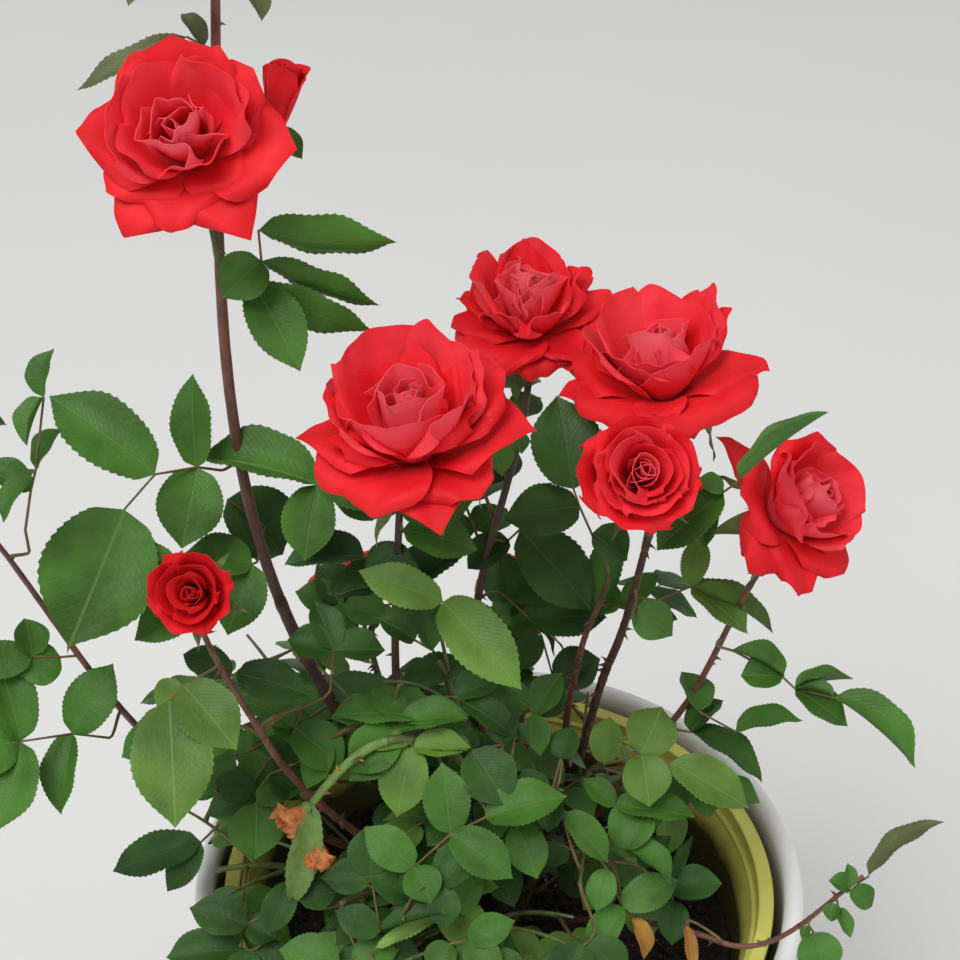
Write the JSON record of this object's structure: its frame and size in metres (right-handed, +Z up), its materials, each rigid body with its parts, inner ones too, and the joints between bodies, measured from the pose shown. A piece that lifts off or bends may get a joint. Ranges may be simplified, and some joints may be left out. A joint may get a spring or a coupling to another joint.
{
  "type": "potted rose bush",
  "caption": "Rose bush with red double roses, buds and compound leaves, standing in a lime inner pot inside a white tapering outer pot.",
  "frame": {"origin": "centre of the outer pot's flat underside", "axes": "+Z up out of the pot, -Y the side that faces the viewer, +X to the viewer's right"},
  "size_m": [0.4736, 0.307, 0.8023],
  "materials": {
    "outer_pot": "gloss",
    "inner_pot": "satin",
    "potting_soil": "matte",
    "wood": "matte",
    "cane": "satin",
    "foliage": "satin",
    "petals": "satin",
    "spent_bloom": "matte"
  },
  "bodies": {
    "root": {"bud_tip": "petals", "bud_top_left": "petals", "cane_back": "cane", "cane_back_left": "cane", "cane_dark": "cane", "cane_front": "cane", "cane_front_left": "cane", "cane_left": "cane", "cane_middle": "cane", "cane_red": "cane", "cane_right": "cane", "cane_runner": "cane", "cane_spent": "cane", "cane_tall": "cane", "inner_pot": "inner_pot", "leaves_back": "foliage", "leaves_back_left": "foliage", "leaves_dark": "foliage", "leaves_front": "foliage", "leaves_front_left": "foliage", "leaves_left": "foliage", "leaves_low_centre": "foliage", "leaves_low_centre_left": "foliage", "leaves_low_far_left": "foliage", "leaves_low_front": "foliage", "leaves_low_front_left": "foliage", "leaves_low_front_right": "foliage", "leaves_low_low_left": "foliage", "leaves_low_right": "foliage", "leaves_low_top": "foliage", "leaves_middle": "foliage", "leaves_red": "foliage", "leaves_right": "foliage", "leaves_runner": "foliage", "leaves_tall": "foliage", "outer_pot": "outer_pot", "potting_soil": "potting_soil", "rose_back": "petals", "rose_back_left": "petals", "rose_back_middle": "petals", "rose_bud_left": "petals", "rose_far_left": "petals", "rose_front_middle": "petals", "rose_right": "petals", "rose_right_middle": "petals", "rose_small_right": "petals", "rose_top_left": "petals", "spent_blooms": "spent_bloom", "stub_pruned": "wood", "woody_base": "wood"}
  },
  "joints": []
}
